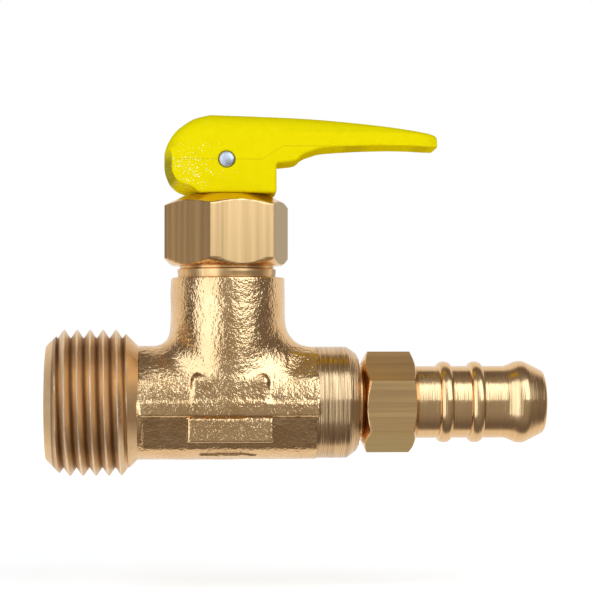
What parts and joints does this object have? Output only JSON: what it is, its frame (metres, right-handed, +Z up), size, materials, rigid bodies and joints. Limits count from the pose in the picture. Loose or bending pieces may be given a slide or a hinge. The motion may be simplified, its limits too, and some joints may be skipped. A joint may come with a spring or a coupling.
{
  "type": "shut-off valve",
  "caption": "Brass gas shut-off valve: forged tee with threaded inlet, hexagon bonnet, yellow toggle lever that lifts a sprung disc off its seat, and a ringed hose nozzle at the outlet",
  "frame": {"origin": "on the flow axis, midway along the full-diameter part of the inlet thread", "axes": "+X along the flow from inlet to outlet, +Z up along the stem, so the lever is on top, -Y towards the side with the flow arrow"},
  "size_m": [0.0717, 0.021, 0.0513],
  "materials": {
    "forged_brass": "forged skin with a fine orange-peel texture, machined thread and outlet end",
    "turned_brass": "drawn hexagon flats and turned surfaces, bright",
    "lever_coat": "yellow, finely grained coating on a die-cast lever",
    "pin_steel": "plain bright steel",
    "spring_steel": "drawn steel wire and stamped washers",
    "seal_rubber": "black nitrile"
  },
  "bodies": {
    "root": {"valve_body": "forged_brass", "bonnet": "turned_brass", "bonnet_gasket": "seal_rubber", "hose_nozzle": "turned_brass", "nozzle_gasket": "seal_rubber", "closing_spring": "spring_steel"},
    "disc": {"disc_holder": "turned_brass", "seat_disc": "seal_rubber", "spring_washer": "spring_steel"},
    "stem": {"stem": "turned_brass", "stem_clip": "spring_steel", "stem_o_ring_lower": "seal_rubber", "stem_o_ring_upper": "seal_rubber"},
    "lever": {"lever": "lever_coat", "lever_pin": "pin_steel"}
  },
  "joints": [
    {"name": "disc_lift", "type": "slide", "parent": "root", "child": "disc", "axis": [0, 0, 1], "range_m": [0, 0.00408], "deforming": ["closing_spring"]},
    {"name": "stem_swivel", "type": "hinge", "parent": "disc", "child": "stem", "pos_m": [0.01962, 0, 0], "axis": [0, 0, 1], "continuous": true},
    {"name": "lever_tilt", "type": "hinge", "parent": "stem", "child": "lever", "pos_m": [0.01962, 0, 0.0345], "axis": [-0.0314, -0.9995, 0], "range_deg": [0, 90]}
  ],
  "couplings": [
    {"joint": "lever_tilt", "follows": "disc_lift", "rad_per_m": 384.62}
  ]
}
